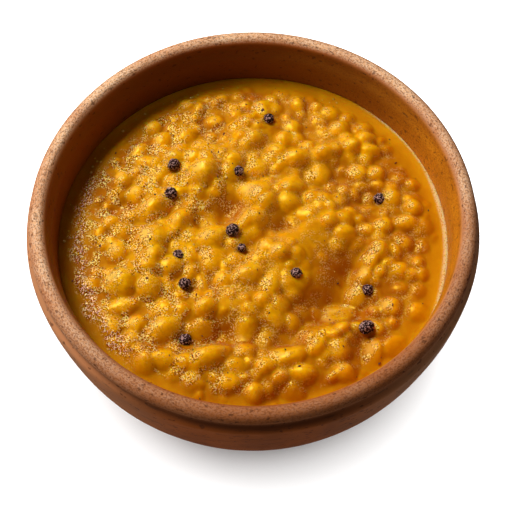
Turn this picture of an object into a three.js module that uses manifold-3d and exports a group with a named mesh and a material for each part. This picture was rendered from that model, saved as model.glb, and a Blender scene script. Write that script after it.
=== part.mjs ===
// A terracotta serving bowl filled with dal: thick lentil stew with whole mustard seeds on top.
// Units are millimetres and +Z is up. The origin is the centre of the bowl's flat base.

import * as THREE from 'three';
import { mergeVertices } from 'three/addons/utils/BufferGeometryUtils.js';
import Module from 'manifold-3d';

const wasm = await Module();
wasm.setup();

// ---------------------------------------------------------------- driving dimensions

const BOWL = {
  height: 54,
  bellyRadius: 60.15,
  bellyHeight: 55.4, // the lip and neck take the place of the belly's widest part
  baseRadius: 42,
  baseRounding: 1.2,
  roundness: 2.4, // exponent of the belly's superellipse
};

const NECK = { height: 50.2, depth: 1.6, halfWidth: 1.4 }; // soft groove under the lip

const LIP = { centreRadius: 56.4, halfWidth: 2.3, halfHeight: 2.65 }; // rolled rim

const CAVITY = {
  radius: 53.1,
  straightFrom: 46, // above this height the wall opens out to meet the lip
  floor: 6.5,
  roundness: 3.0,
};

const DAL = {
  level: 37.2, // gravy level a few millimetres in from the wall
  gap: 0.3, // clearance between the dal's solid and the bowl's
  cell: 1.75, // spacing of the surface's triangular lattice
  marginWidth: 7.5, // smooth gravy between the wall and the full height of the middle
  middleRise: 1.4, // how far the middle stands above that gravy
  meniscusRise: 0.9,
  meniscusWidth: 1.6,
};

const LENTIL = {
  pitch: 4.4, // mean distance between neighbours
  jitter: 1.3,
  radius: [1.5, 2.9], // smallest and largest
  footSpread: 1.2, // gravy widens a lentil's foot to this many times its radius
  domeRatio: 0.8, // height of a clump for its half width
  domeFall: 0.95, // 1 gives a dome that meets the gravy at an angle, 1.5 one that fades into it
  fillet: 0.25, // softness of the gravy between neighbours
  wallClearance: 2.2,
  randomSeed: 20,
};

const SEED = { radius: 1.55, sunk: 0.35, randomSeed: 47 };

const BOWL_SEGMENTS = 64;
const DAL_SEGMENTS = 64;

const SWELL = { height: 0.55, length: 23 }; // slow rise and fall of the whole surface

const PATTERN = { x: 1.2, y: -2.1 }; // mounds, hollows and smooth places are measured from here

// Spoonfuls that stand proud, and hollows between them:
// [x, y, half length, half width, angle in degrees, height].
const MOUNDS = [
  [-8, 8, 30, 26, 40, 2.6],
  [-13, 23, 13, 6, 40, 2.6],
  [-2, 36, 7, 6, 70, 2.0],
  [-29, 10, 9, 5, 55, 1.4],
  [-37, 12, 4, 3, 30, -1.6],
  [-8.5, 8.5, 10, 3.5, 35, -4.2],
  [2, 12.5, 8, 4.5, 30, 2.8],
  [7.5, 4, 6, 2.5, 35, -2.4],
  [15, 4, 9, 6, 30, 2.4],
  [20.5, -19.5, 9.5, 5.5, 15, -6.4],
  [25, -9, 6.5, 3.5, 60, -3.4],
  [33, 0, 8, 4, 70, 1.6],
  [20, -27, 7, 4, 15, 2.8],
  [-9, -28, 14, 3.2, 5, -3.6],
  [-8, -19.5, 10, 4, 5, 2.2],
  [-13, -34, 9, 5, 10, 2.2],
  [28, -33, 7, 3, 100, -2.8],
  [8, -44, 9, 3, 10, -2.4],
  [5, -37, 8, 4, 15, 1.6],
  [8, -30, 4, 3, 45, -2.4],
  [-2, -1, 5, 3, 60, -1.6],
  [7, -5.5, 6, 4, 20, 2.4],
  [-3, -11.5, 5, 4, 20, 1.6],
  [30, 13, 5, 3, 20, -2.0],
  [18, 27, 13, 5, 10, 2.0],
  [14, 19.5, 8, 3, 10, -1.6],
  [30, 31, 5, 4, 0, 1.4],
  [-29, -9, 8, 6, 70, 2.6],
  [-28, -33, 6, 5, 0, 1.6],
  [43, -1, 4, 3, 0, -1.2],
  [-24, 8, 4, 2.5, 60, -1.4],
  [-14, -12, 5, 3.5, 30, -1.6],
  [-19, 41, 5, 4, 30, 1.2],
  [-26, 26, 6, 3.5, 30, 1.2],
];

// Large lentils, and lentils stuck together: [x, y, half length, half width, angle in degrees].
const CLUMPS = [
  [-36.5, 17, 2.8, 2.4, 90],
  [-41.5, 0, 2.8, 1.6, 90],
  [-38.5, 3.5, 2.6, 2.4, 0],
  [-36.5, -5.5, 3.4, 2.8, 90],
  [-27, -2.5, 4.2, 4.0, 0],
  [-35.5, -15.5, 4.2, 4.0, 0],
  [-27, -17, 3.3, 3.2, 0],
  [-19.5, 3, 3.4, 3.0, 60],
  [-11, -1, 4.2, 3.8, 60],
  [-27, 7, 4.7, 2.9, 30],
  [-13.5, 17.5, 4.2, 3.8, 45],
  [0.5, 12, 4.4, 3.8, 15],
  [11, 14, 3.6, 3.3, 30],
  [14, 5.5, 3.4, 2.2, 10],
  [7, -7, 3.4, 2.8, 0],
  [-0.5, -13, 3.8, 2.9, 10],
  [5, -16, 3.6, 2.8, 75],
  [-27.5, -11.5, 3.0, 2.4, 0],
  [-21.5, -10.5, 3.1, 2.8, 0],
  [-34.5, -22, 4.4, 2.4, 10],
  [-30.5, -27, 2.8, 2.6, 0],
  [-23, -28.5, 4.6, 3.3, 20],
  [-22.5, -37, 3.3, 2.6, 0],
  [-11.5, -36.5, 5.4, 3.0, 30],
  [-13.5, -28.5, 4.2, 2.6, 10],
  [-6, -43.5, 3.4, 2.4, 15],
  [3, -38.5, 2.6, 2.3, 0],
  [9, -35.5, 4.6, 3.3, 10],
  [13, -41, 3.3, 2.3, 0],
  [16.5, -33.5, 2.8, 2.6, 0],
  [22.5, -34.5, 3.0, 2.8, 0],
  [22.5, -22.5, 5.0, 3.4, 15],
  [27.5, -17.5, 3.4, 3.0, 90],
  [36, -21.5, 3.1, 2.8, 0],
  [43.5, -23, 2.8, 2.6, 0],
  [31, -34.5, 3.8, 2.6, 80],
  [36.5, -32.5, 3.8, 2.3, 30],
  [23.5, -40, 3.0, 2.7, 0],
  [10.5, -25.5, 2.9, 2.6, 90],
  [10.5, -45, 3.0, 2.2, 0],
  [-2, -28.5, 3.6, 3.0, 20],
  [-11, 36.5, 2.4, 2.1, 0],
  [-26, 30, 3.0, 2.4, 30],
  [0.5, 29, 2.8, 2.4, 0],
  [-5, 22, 2.8, 2.2, 0],
  [13, 42.5, 2.8, 2.2, 90],
  [22, 40, 3.0, 2.6, 0],
  [32, 30.5, 3.0, 2.6, 30],
  [12, 23.5, 3.5, 2.9, 10],
  [20, 25, 3.0, 2.6, 0],
  [29, 19, 2.8, 2.6, 0],
  [34.5, 19, 2.6, 2.4, 0],
  [25, 4, 2.6, 2.4, 0],
  [25, -0.5, 2.9, 2.8, 0],
  [35.5, 2.5, 2.7, 2.6, 0],
  [41.5, 3.5, 3.2, 2.5, 0],
  [34, -5.5, 2.8, 2.6, 0],
  [39.5, -11, 2.4, 2.3, 0],
];

// Smooth gravy, where single lentils don't show: [x, y, radius].
const SMOOTH = [
  [16, 0, 5],
  [-9, 9, 4],
  [-5, 17, 3],
  [18, -14, 6],
  [36, 24, 4],
  [15, 36, 3],
  [-8, -24, 4],
  [-17, -24, 3],
  [25, -7, 4],
  [-8, -38, 3],
  [24, -36, 3],
  [-33, -21, 3],
  [-50, 8, 6],
  [-50, -6, 6],
  [-46, 19, 5],
  [-46, -18, 5],
  [-39, 31, 5],
  [-29, 41, 4],
  [6, 7, 3],
  [34, -13, 3],
];

// Mustard seeds on top: [x, y, scale].
const SEEDS = [
  [4.5, 36.5, 1.0],
  [-22, 20.5, 1.1],
  [-4, 18, 0.95],
  [-22.5, 11, 1.05],
  [35, 11.5, 1.0],
  [-5.5, -0.5, 1.25],
  [-3, -5, 0.8],
  [-20, -7.5, 1.0],
  [-18, -16, 1.05],
  [11.5, -13, 0.95],
  [30.5, -16.5, 1.05],
  [29.5, -28, 1.25],
  [-17.5, -31, 1.05],
];

// ---------------------------------------------------------------- small helpers

// A repeatable stream of numbers from 0 to 1 (mulberry32).
function randomStream(seed) {
  let state = seed >>> 0;
  return () => {
    state = (state + 0x6d2b79f5) >>> 0;
    let mixed = Math.imul(state ^ (state >>> 15), state | 1);
    mixed ^= mixed + Math.imul(mixed ^ (mixed >>> 7), mixed | 61);
    return ((mixed ^ (mixed >>> 14)) >>> 0) / 4294967296;
  };
}

const { lerp, smoothstep, degToRad } = THREE.MathUtils;
const ORIGIN = new THREE.Vector2();

// Radius at height z of a superellipse with its widest part at `top` and its lowest at `bottom`.
function superellipse(z, radius, top, bottom, exponent) {
  const fall = THREE.MathUtils.clamp((top - z) / (top - bottom), 0, 1);
  return radius * (1 - fall ** exponent) ** (1 / exponent);
}

// Welds a geometry's corners and drops the flat triangles that the poles leave.
function weld(geometry) {
  geometry.deleteAttribute('normal');
  geometry.deleteAttribute('uv');
  const welded = mergeVertices(geometry, 1e-4);
  const corners = welded.index.array;
  const kept = [];
  for (let i = 0; i < corners.length; i += 3) {
    const [a, b, c] = corners.subarray(i, i + 3);
    if (a !== b && b !== c && c !== a) kept.push(a, b, c);
  }
  welded.setIndex(kept);
  return welded;
}

function toSolid(geometry) {
  const welded = weld(geometry);
  const mesh = new wasm.Mesh({
    numProp: 3,
    vertProperties: new Float32Array(welded.attributes.position.array),
    triVerts: new Uint32Array(welded.index.array),
  });
  return new wasm.Manifold(mesh);
}

function toGeometry(solid) {
  const { vertProperties, triVerts } = solid.getMesh();
  const geometry = new THREE.BufferGeometry();
  geometry.setAttribute('position', new THREE.BufferAttribute(vertProperties, 3));
  geometry.setIndex(new THREE.BufferAttribute(triVerts, 1));
  geometry.computeVertexNormals();
  return geometry;
}

// Turns a profile of (radius, height) about the vertical axis.
function turned(profile, segments) {
  return new THREE.LatheGeometry(profile, segments).rotateX(Math.PI / 2);
}

// ---------------------------------------------------------------- bowl

// The belly's superellipse would reach its point below the base, which cuts it off flat.
const bellyBottom =
  BOWL.bellyHeight -
  BOWL.bellyHeight / (1 - (BOWL.baseRadius / BOWL.bellyRadius) ** BOWL.roundness) ** (1 / BOWL.roundness);
const lipHeight = BOWL.height - LIP.halfHeight;

function outerRadius(z) {
  const belly = superellipse(z, BOWL.bellyRadius, BOWL.bellyHeight, bellyBottom, BOWL.roundness);
  const neck = NECK.depth * Math.exp(-(((z - NECK.height) / NECK.halfWidth) ** 2));
  return belly - neck;
}

function innerRadius(z) {
  const lipInside = LIP.centreRadius - LIP.halfWidth;
  const opening = smoothstep(z, CAVITY.straightFrom, lipHeight);
  const wall = superellipse(z, CAVITY.radius, CAVITY.straightFrom, CAVITY.floor, CAVITY.roundness);
  return lerp(wall, lipInside, opening);
}

// Heights spaced so that the curve near the bottom gets the shorter steps.
function heights(from, to, steps) {
  return Array.from({ length: steps + 1 }, (_, i) =>
    lerp(from, to, 1 - Math.cos((i / steps) * Math.PI * 0.5))
  );
}

// From the flat base, round its edge, up the belly and into the neck.
function outsideProfile() {
  const { baseRadius, baseRounding } = BOWL;
  const base = [new THREE.Vector2(0, 0), new THREE.Vector2(baseRadius - baseRounding, 0)];
  const belly = heights(baseRounding * 0.5, NECK.height - 2.2 * NECK.halfWidth, 8);
  const neck = [-1.1, -0.6, -0.1].map((share) => NECK.height + share * NECK.halfWidth);
  return [...base, ...[...belly, ...neck].map((z) => new THREE.Vector2(outerRadius(z), z))];
}

// The rolled lip, from where its underside meets the neck over the top to its inner side.
function lipProfile(steps) {
  const from = degToRad(-20);
  const to = Math.PI;
  return Array.from({ length: steps + 1 }, (_, i) => {
    const angle = lerp(from, to, i / steps);
    const radius = LIP.centreRadius + LIP.halfWidth * Math.cos(angle);
    return new THREE.Vector2(radius, lipHeight + LIP.halfHeight * Math.sin(angle));
  });
}

// The wall from the cavity's floor up to where it starts to open out.
function cavityProfile(steps, inset) {
  const below = heights(CAVITY.floor, CAVITY.straightFrom, steps);
  const points = below.map((z) => new THREE.Vector2(Math.max(innerRadius(z) - inset, 0), z + inset));
  points[0].x = 0;
  return points;
}

function makeBowl() {
  const inside = cavityProfile(9, 0).reverse();
  return weld(turned([...outsideProfile(), ...lipProfile(8), ...inside], BOWL_SEGMENTS));
}

// ---------------------------------------------------------------- dal

// One lentil or clump is a soft dome that is highest in its middle and falls to its foot.
function dome(x, y, halfLength, halfWidth, degrees, height) {
  return [x, y, halfLength * LENTIL.footSpread, halfWidth * LENTIL.footSpread, degrees, height];
}

const surfaceRadius = innerRadius(DAL.level) - DAL.gap;

// Clumps first, then single lentils on a jittered triangular lattice wherever there is room.
function scatterLentils() {
  const random = randomStream(LENTIL.randomSeed);
  const clumps = CLUMPS.map(([x, y, halfLength, halfWidth, degrees]) =>
    dome(x, y, halfLength, halfWidth, degrees, LENTIL.domeRatio * halfWidth)
  );
  const isFree = (x, y, size) =>
    clumps.every(([cx, cy, halfLength]) => Math.hypot(cx - x, cy - y) > 0.62 * halfLength + 0.55 * size) &&
    SMOOTH.every(([cx, cy, radius]) => Math.hypot(cx + PATTERN.x - x, cy + PATTERN.y - y) > radius) &&
    Math.hypot(x, y) < surfaceRadius - LENTIL.wallClearance - 1.15 * size;
  const lentils = [];
  const rowHeight = LENTIL.pitch * Math.sin(Math.PI / 3);
  const rows = Math.ceil(surfaceRadius / rowHeight);
  const columns = Math.ceil(surfaceRadius / LENTIL.pitch) + 1;
  for (let row = -rows; row <= rows; row++) {
    for (let column = -columns; column <= columns; column++) {
      const x = (column + (row & 1) * 0.5) * LENTIL.pitch + lerp(-1, 1, random()) * LENTIL.jitter;
      const y = row * rowHeight + lerp(-1, 1, random()) * LENTIL.jitter;
      const size = lerp(...LENTIL.radius, random() ** 1.5);
      const stretch = lerp(0.95, 1.15, random());
      const degrees = random() * 180;
      const height = LENTIL.domeRatio * (0.9 * size - 0.2) * lerp(0.5, 1.4, random());
      if (isFree(x, y, size)) {
        lentils.push(dome(x, y, size * stretch, size / stretch, degrees, height));
      }
    }
  }
  return [...clumps, ...lentils];
}

const domes = scatterLentils();

// Square of an offset from the middle of a turned ellipse, 1 on the ellipse itself.
function ellipseShare(dx, dy, halfLength, halfWidth, degrees) {
  const offset = new THREE.Vector2(dx, dy).rotateAround(ORIGIN, -degToRad(degrees));
  return (offset.x / halfLength) ** 2 + (offset.y / halfWidth) ** 2;
}

// The dal's surface: gravy, slow swells, mounds and hollows, and lentils joined by soft fillets.
function surfaceHeight(x, y) {
  const fromWall = surfaceRadius - Math.hypot(x, y);
  const inside = smoothstep(fromWall, 0, DAL.marginWidth);
  const meniscus = DAL.meniscusRise * Math.exp(-Math.max(fromWall, 0) / DAL.meniscusWidth);
  const phase = (2 * Math.PI) / SWELL.length;
  const swell = SWELL.height * Math.sin(x * phase + 1.3) * Math.cos(y * phase * 0.83 - 0.7);
  let ground = DAL.level + meniscus + inside * (DAL.middleRise + swell);
  for (const [cx, cy, halfLength, halfWidth, degrees, height] of MOUNDS) {
    const dx = x - PATTERN.x - cx;
    const dy = y - PATTERN.y - cy;
    ground += height * Math.exp(-ellipseShare(dx, dy, halfLength, halfWidth, degrees));
  }
  let sum = 0;
  for (const [cx, cy, halfLength, halfWidth, degrees, height] of domes) {
    const share = ellipseShare(x - cx, y - cy, halfLength, halfWidth, degrees);
    sum += Math.exp((height * Math.max(1 - share, 0) ** LENTIL.domeFall) / LENTIL.fillet) - 1;
  }
  return ground + LENTIL.fillet * Math.log(1 + sum) * lerp(0.35, 1, inside);
}

// A block whose top face is a triangular lattice raised to the dal's surface.
function makeSurfaceBlock() {
  const rowHeight = DAL.cell * Math.sin(Math.PI / 3);
  const reach = CAVITY.radius + DAL.cell;
  const rows = Math.ceil((2 * reach) / rowHeight);
  const columns = Math.ceil((2 * reach) / (DAL.cell * Math.sin(Math.PI / 3)));
  const depth = DAL.level;
  const block = new THREE.BoxGeometry(columns * DAL.cell, rows * rowHeight, depth, columns, rows, 1);
  const position = block.attributes.position;
  for (let i = 0; i < position.count; i++) {
    const y = position.getY(i);
    const x = position.getX(i) - y / Math.sqrt(3);
    const isTop = position.getZ(i) > 0;
    position.setXYZ(i, x, y, isTop ? surfaceHeight(x, y) : 0);
  }
  return toSolid(block);
}

// Everything inside the cavity, a gap's width clear of its wall, up to above the highest lentil.
function makeCavityFill() {
  const profile = cavityProfile(9, DAL.gap);
  const topRadius = profile[profile.length - 1].x;
  const top = [new THREE.Vector2(topRadius, BOWL.height), new THREE.Vector2(0, BOWL.height)];
  return toSolid(turned([...profile, ...top], DAL_SEGMENTS));
}

function makeSeed([x, y, scale], random) {
  const radius = SEED.radius * scale;
  const seed = new THREE.DodecahedronGeometry(radius, 0);
  seed.scale(lerp(0.9, 1.12, random()), lerp(0.9, 1.12, random()), lerp(0.85, 1, random()));
  seed.rotateX(random() * Math.PI);
  seed.rotateZ(random() * Math.PI);
  seed.translate(x, y, surfaceHeight(x, y) + radius * SEED.sunk);
  return toSolid(seed);
}

function makeDal() {
  const random = randomStream(SEED.randomSeed);
  let solid = makeCavityFill().intersect(makeSurfaceBlock());
  for (const seed of SEEDS) {
    solid = solid.add(makeSeed(seed, random));
  }
  return toGeometry(solid);
}

// ---------------------------------------------------------------- assembly

function part(name, geometry, colour, roughness) {
  const material = new THREE.MeshStandardMaterial({ color: colour, roughness, metalness: 0 });
  const mesh = new THREE.Mesh(geometry, material);
  mesh.name = name;
  return mesh;
}

const model = new THREE.Group();
model.add(part('bowl', makeBowl(), 0xb5794f, 0.85));
model.add(part('dal', makeDal(), 0xd0900f, 0.35));

export default model;
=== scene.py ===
"""A terracotta bowl of dal: thick lentil stew with mustard seeds, in a bowl with a rolled lip.

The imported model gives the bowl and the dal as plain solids. This file makes their fine surfaces, the
seeds, spice and bubbles on top, the finishes and a plain studio stage. It is laid out as a Blender
add-on and run as a script. Shapes are worked out in millimetres and scaled to metres at the end.
"""

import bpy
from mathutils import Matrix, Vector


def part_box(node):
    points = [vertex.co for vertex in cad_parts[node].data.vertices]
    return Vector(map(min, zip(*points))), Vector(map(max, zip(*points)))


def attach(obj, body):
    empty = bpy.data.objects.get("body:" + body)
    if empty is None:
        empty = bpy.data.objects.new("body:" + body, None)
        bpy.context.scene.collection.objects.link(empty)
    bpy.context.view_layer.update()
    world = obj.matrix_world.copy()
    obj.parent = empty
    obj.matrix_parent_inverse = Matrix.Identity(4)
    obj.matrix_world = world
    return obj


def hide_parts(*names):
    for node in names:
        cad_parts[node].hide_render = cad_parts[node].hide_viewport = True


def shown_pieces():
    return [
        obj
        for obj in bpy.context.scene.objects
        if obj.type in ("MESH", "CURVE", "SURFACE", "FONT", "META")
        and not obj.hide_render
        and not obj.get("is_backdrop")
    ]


bl_info = {
    "name": "Bowl of dal",
    "version": (1, 0, 0),
    "blender": (4, 5, 0),
    "location": "View3D > Sidebar > Dal",
    "description": "Makes a terracotta bowl of dal with its toppings, finishes and studio stage",
    "category": "Object",
}

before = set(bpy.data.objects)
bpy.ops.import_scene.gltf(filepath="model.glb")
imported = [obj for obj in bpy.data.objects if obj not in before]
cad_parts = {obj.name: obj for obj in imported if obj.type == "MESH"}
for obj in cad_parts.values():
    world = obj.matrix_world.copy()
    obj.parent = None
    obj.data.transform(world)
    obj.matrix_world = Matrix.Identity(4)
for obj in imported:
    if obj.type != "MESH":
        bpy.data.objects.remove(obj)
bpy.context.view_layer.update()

import math

import bmesh
import bpy
import numpy as np
from bpy.props import FloatProperty, FloatVectorProperty, IntProperty, PointerProperty
from mathutils import Matrix, Vector, noise

MM = 0.001

# ---------------------------------------------------------------- sizes, in millimetres

BOWL_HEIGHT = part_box("bowl")[1].z / MM
BELLY_RADIUS = 60.15
BELLY_HEIGHT = 55.4  # the lip and neck take the place of the belly's widest part
BELLY_ROUNDNESS = 2.4  # exponent of the belly's superellipse
BASE_RADIUS = 42.0
BASE_ROUNDING = 1.2
NECK_HEIGHT, NECK_DEPTH, NECK_HALF_WIDTH = 50.2, 1.6, 1.4  # soft groove under the lip
LIP_RADIUS, LIP_HALF_WIDTH, LIP_HALF_HEIGHT = 56.4, 2.3, 2.65
LIP_CLAY = (49.4, 50.9)  # heights between which the belly's clay gives way to the lip's
CAVITY_RADIUS, CAVITY_TOP, CAVITY_FLOOR, CAVITY_ROUNDNESS = 53.1, 46.0, 6.5, 3.0
TURN_STEPS = 256
THROWING_TWIST = 2.6  # radians of the throwing lines for each millimetre of height
LINES_FADE = (49.5, 51.5)  # heights between which they fade towards the lip
CLAY_UNEVENNESS, LIP_DIP = 0.16, 0.14

DAL_LEVEL = 37.2
DAL_GAP = 0.3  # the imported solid's clearance from the wall
DAL_REACH = 0.15  # how far the fine surface goes into the wall
DAL_CELLS = 272
MARGIN_WIDTH = 7.5  # smooth gravy between the wall and the full height of the middle
MIDDLE_RISE = 1.4
MENISCUS_RISE, MENISCUS_WIDTH = 0.9, 1.6
SWELL_HEIGHT, SWELL_LENGTH = 0.55, 23.0

# Painted highlight along the meniscus where the dal meets the wall, its middle on the right: its width,
# the degrees to each side over which it narrows, the share of the width that is left there, and the
# degrees over which it ends.
RING_WIDTH, RING_NARROWS, RING_NARROWEST, RING_ENDS = 1.05, (10.0, 34.0), 0.3, (42.0, 58.0)

# Foam-like painted glints on the thin gravy on the left: the degrees of their middle and from there to
# their ends, then their distance from the wall, their width, and how many times the lentils' own bends
# they stray.
FOAM_GLINT_MIDDLE, FOAM_GLINT_REACH = 192.0, 43.0
FOAM_GLINT_FROM_WALL, FOAM_GLINT_WIDTH, FOAM_GLINT_STRAYS = 5.0, 1.9, 5.0

LENTIL_PITCH, LENTIL_JITTER = 4.4, 1.3
LENTIL_RADIUS = (1.5, 2.9)
FOOT_SPREAD, DOME_RATIO, FILLET = 1.2, 0.8, 0.25
DOME_FALL = 0.95  # 1 gives a dome that meets the gravy at an angle, 1.5 one that fades into it
CLUMP_ROOM, LENTIL_ROOM = 0.62, 0.55  # shares of a clump's half length and a lentil's radius kept free
WALL_CLEARANCE = 2.2
LENTIL_SEED = 20

CRUMB_PITCH, CRUMB_JITTER = 2.7, 1.0
CRUMB_RADIUS = (0.6, 1.1)
CRUMB_SHARE, CRUMB_DOME = 0.1, 0.45
CRUMB_SEED = 91
RIPPLES = ((3.2, 0.3), (1.4, 0.1))  # wavelength and height of the surface's own unevenness
WARP_LENGTH, WARP_DEPTH = 3.4, 0.35  # bends the lentils' outlines
NOISE_SEED = 1
LIT_SIDE = Vector((-0.45, 0.1, 0.9)).normalized()  # the side of each lentil that faces the key light, where the painted sheen and painted glints go

PATTERN_X, PATTERN_Y = 1.2, -2.1  # mounds and smooth places are measured from here

# Spoonfuls that stand proud, and hollows between them: x, y, half length, half width, angle in
# degrees, height.
MOUNDS = [
    (-8, 8, 30, 26, 40, 2.6), (-13, 23, 13, 6, 40, 2.6), (-2, 36, 7, 6, 70, 2.0),
    (-29, 10, 9, 5, 55, 1.4), (-37, 12, 4, 3, 30, -1.6), (-8.5, 8.5, 10, 3.5, 35, -4.2),
    (2, 12.5, 8, 4.5, 30, 2.8), (7.5, 4, 6, 2.5, 35, -2.4), (15, 4, 9, 6, 30, 2.4),
    (20.5, -19.5, 9.5, 5.5, 15, -6.4), (25, -9, 6.5, 3.5, 60, -3.4), (33, 0, 8, 4, 70, 1.6),
    (20, -27, 7, 4, 15, 2.8), (-9, -28, 14, 3.2, 5, -3.6), (-8, -19.5, 10, 4, 5, 2.2),
    (-13, -34, 9, 5, 10, 2.2), (28, -33, 7, 3, 100, -2.8), (8, -44, 9, 3, 10, -2.4),
    (5, -37, 8, 4, 15, 1.6), (8, -30, 4, 3, 45, -2.4), (-2, -1, 5, 3, 60, -1.6),
    (7, -5.5, 6, 4, 20, 2.4), (-3, -11.5, 5, 4, 20, 1.6), (30, 13, 5, 3, 20, -2.0),
    (18, 27, 13, 5, 10, 2.0), (14, 19.5, 8, 3, 10, -1.6), (30, 31, 5, 4, 0, 1.4),
    (-29, -9, 8, 6, 70, 2.6), (-28, -33, 6, 5, 0, 1.6), (43, -1, 4, 3, 0, -1.2),
    (-24, 8, 4, 2.5, 60, -1.4), (-14, -12, 5, 3.5, 30, -1.6), (-19, 41, 5, 4, 30, 1.2),
    (-26, 26, 6, 3.5, 30, 1.2),
]

# Large lentils, and lentils stuck together: x, y, half length, half width, angle in degrees.
CLUMPS = [
    (-36.5, 17, 2.8, 2.4, 90), (-41.5, 0, 2.8, 1.6, 90), (-38.5, 3.5, 2.6, 2.4, 0),
    (-36.5, -5.5, 3.4, 2.8, 90), (-27, -2.5, 4.2, 4.0, 0), (-35.5, -15.5, 4.2, 4.0, 0),
    (-27, -17, 3.3, 3.2, 0), (-19.5, 3, 3.4, 3.0, 60), (-11, -1, 4.2, 3.8, 60), (-27, 7, 4.7, 2.9, 30),
    (-13.5, 17.5, 4.2, 3.8, 45), (0.5, 12, 4.4, 3.8, 15), (11, 14, 3.6, 3.3, 30),
    (14, 5.5, 3.4, 2.2, 10), (7, -7, 3.4, 2.8, 0), (-0.5, -13, 3.8, 2.9, 10), (5, -16, 3.6, 2.8, 75),
    (-27.5, -11.5, 3.0, 2.4, 0), (-21.5, -10.5, 3.1, 2.8, 0), (-34.5, -22, 4.4, 2.4, 10),
    (-30.5, -27, 2.8, 2.6, 0), (-23, -28.5, 4.6, 3.3, 20), (-22.5, -37, 3.3, 2.6, 0),
    (-11.5, -36.5, 5.4, 3.0, 30), (-13.5, -28.5, 4.2, 2.6, 10), (-6, -43.5, 3.4, 2.4, 15),
    (3, -38.5, 2.6, 2.3, 0), (9, -35.5, 4.6, 3.3, 10), (13, -41, 3.3, 2.3, 0),
    (16.5, -33.5, 2.8, 2.6, 0), (22.5, -34.5, 3.0, 2.8, 0), (22.5, -22.5, 5.0, 3.4, 15),
    (27.5, -17.5, 3.4, 3.0, 90), (36, -21.5, 3.1, 2.8, 0), (43.5, -23, 2.8, 2.6, 0),
    (31, -34.5, 3.8, 2.6, 80), (36.5, -32.5, 3.8, 2.3, 30), (23.5, -40, 3.0, 2.7, 0),
    (10.5, -25.5, 2.9, 2.6, 90), (10.5, -45, 3.0, 2.2, 0), (-2, -28.5, 3.6, 3.0, 20),
    (-11, 36.5, 2.4, 2.1, 0), (-26, 30, 3.0, 2.4, 30), (0.5, 29, 2.8, 2.4, 0), (-5, 22, 2.8, 2.2, 0),
    (13, 42.5, 2.8, 2.2, 90), (22, 40, 3.0, 2.6, 0), (32, 30.5, 3.0, 2.6, 30), (12, 23.5, 3.5, 2.9, 10),
    (20, 25, 3.0, 2.6, 0), (29, 19, 2.8, 2.6, 0), (34.5, 19, 2.6, 2.4, 0), (25, 4, 2.6, 2.4, 0),
    (25, -0.5, 2.9, 2.8, 0), (35.5, 2.5, 2.7, 2.6, 0), (41.5, 3.5, 3.2, 2.5, 0),
    (34, -5.5, 2.8, 2.6, 0), (39.5, -11, 2.4, 2.3, 0),
]

# Smooth gravy, where single lentils don't show: x, y, radius.
SMOOTH = [
    (16, 0, 5), (-9, 9, 4), (-5, 17, 3), (18, -14, 6), (36, 24, 4), (15, 36, 3), (-8, -24, 4),
    (-17, -24, 3), (25, -7, 4), (-8, -38, 3), (24, -36, 3), (-33, -21, 3), (-50, 8, 6), (-50, -6, 6),
    (-46, 19, 5), (-46, -18, 5), (-39, 31, 5), (-29, 41, 4), (6, 7, 3), (34, -13, 3),
]

# Mustard seeds: x, y, scale.
SEEDS = [
    (4.5, 36.5, 1.0), (-22, 20.5, 1.1), (-4, 18, 0.95), (-22.5, 11, 1.05), (35, 11.5, 1.0),
    (-5.5, -0.5, 1.25), (-3, -5, 0.8), (-20, -7.5, 1.0), (-18, -16, 1.05), (11.5, -13, 0.95),
    (30.5, -16.5, 1.05), (29.5, -28, 1.25), (-17.5, -31, 1.05),
]
SEED_RADIUS, SEED_SUNK = 1.55, 0.35
SPICE_RADIUS = (0.12, 0.42)
BUBBLE_RADIUS = (0.2, 0.55)
BUBBLY_EDGE = (60.0, 200.0)  # degrees from and to which bubbles line the wall

# Stage, in metres and degrees.
LIT_POINT = (0.0, 0.0, BOWL_HEIGHT * 0.7 * MM)
LIGHT_DISTANCE = 0.9
FLOOR_LIGHT_DIRECTION, FLOOR_LIGHT_SIZE = (120.0, 82.0), 1.3
SIDE_LIGHT_DIRECTION, SIDE_LIGHT_SIZE = (195.0, 12.0), 0.5
FLOOR_DROP = 0.05 * MM
CAMERA_AIM = Vector((0.81 * MM, -14.6 * MM, BOWL_HEIGHT * MM))

# ---------------------------------------------------------------- small helpers


def random_stream(seed):
    """A repeatable stream of numbers from 0 to 1 (mulberry32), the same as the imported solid's."""
    state = seed & 0xFFFFFFFF
    while True:
        state = (state + 0x6D2B79F5) & 0xFFFFFFFF
        mixed = ((state ^ (state >> 15)) * (state | 1)) & 0xFFFFFFFF
        mixed ^= (mixed + (((mixed ^ (mixed >> 7)) * (mixed | 61)) & 0xFFFFFFFF)) & 0xFFFFFFFF
        yield ((mixed ^ (mixed >> 14)) & 0xFFFFFFFF) / 4294967296


def lerp(a, b, share):
    """The value that lies the given share of the way from a to b."""
    return a + (b - a) * share


def smoothstep(value, low, high):
    """0 below low, 1 above high and a smooth curve between them, for numbers and arrays."""
    share = np.clip((value - low) / (high - low), 0.0, 1.0)
    return share * share * (3.0 - 2.0 * share)


def srgb(red, green, blue):
    """A colour given as 0 to 255 on a screen, as linear light."""
    return tuple(
        c / 12.92 if c <= 0.04045 else ((c + 0.055) / 1.055) ** 2.4
        for c in (red / 255, green / 255, blue / 255)
    )


def finish_piece(name, bm, material):
    """Turns a bmesh in millimetres into a piece in metres that rides on the bowl."""
    bmesh.ops.scale(bm, vec=(MM, MM, MM), verts=bm.verts)
    for face in bm.faces:
        face.smooth = True
    mesh = bpy.data.meshes.new(name)
    bm.to_mesh(mesh)
    bm.free()
    mesh.materials.append(material)
    piece = bpy.data.objects.new(name, mesh)
    bpy.context.scene.collection.objects.link(piece)
    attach(piece, "root")
    return piece


# ---------------------------------------------------------------- shader building


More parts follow.
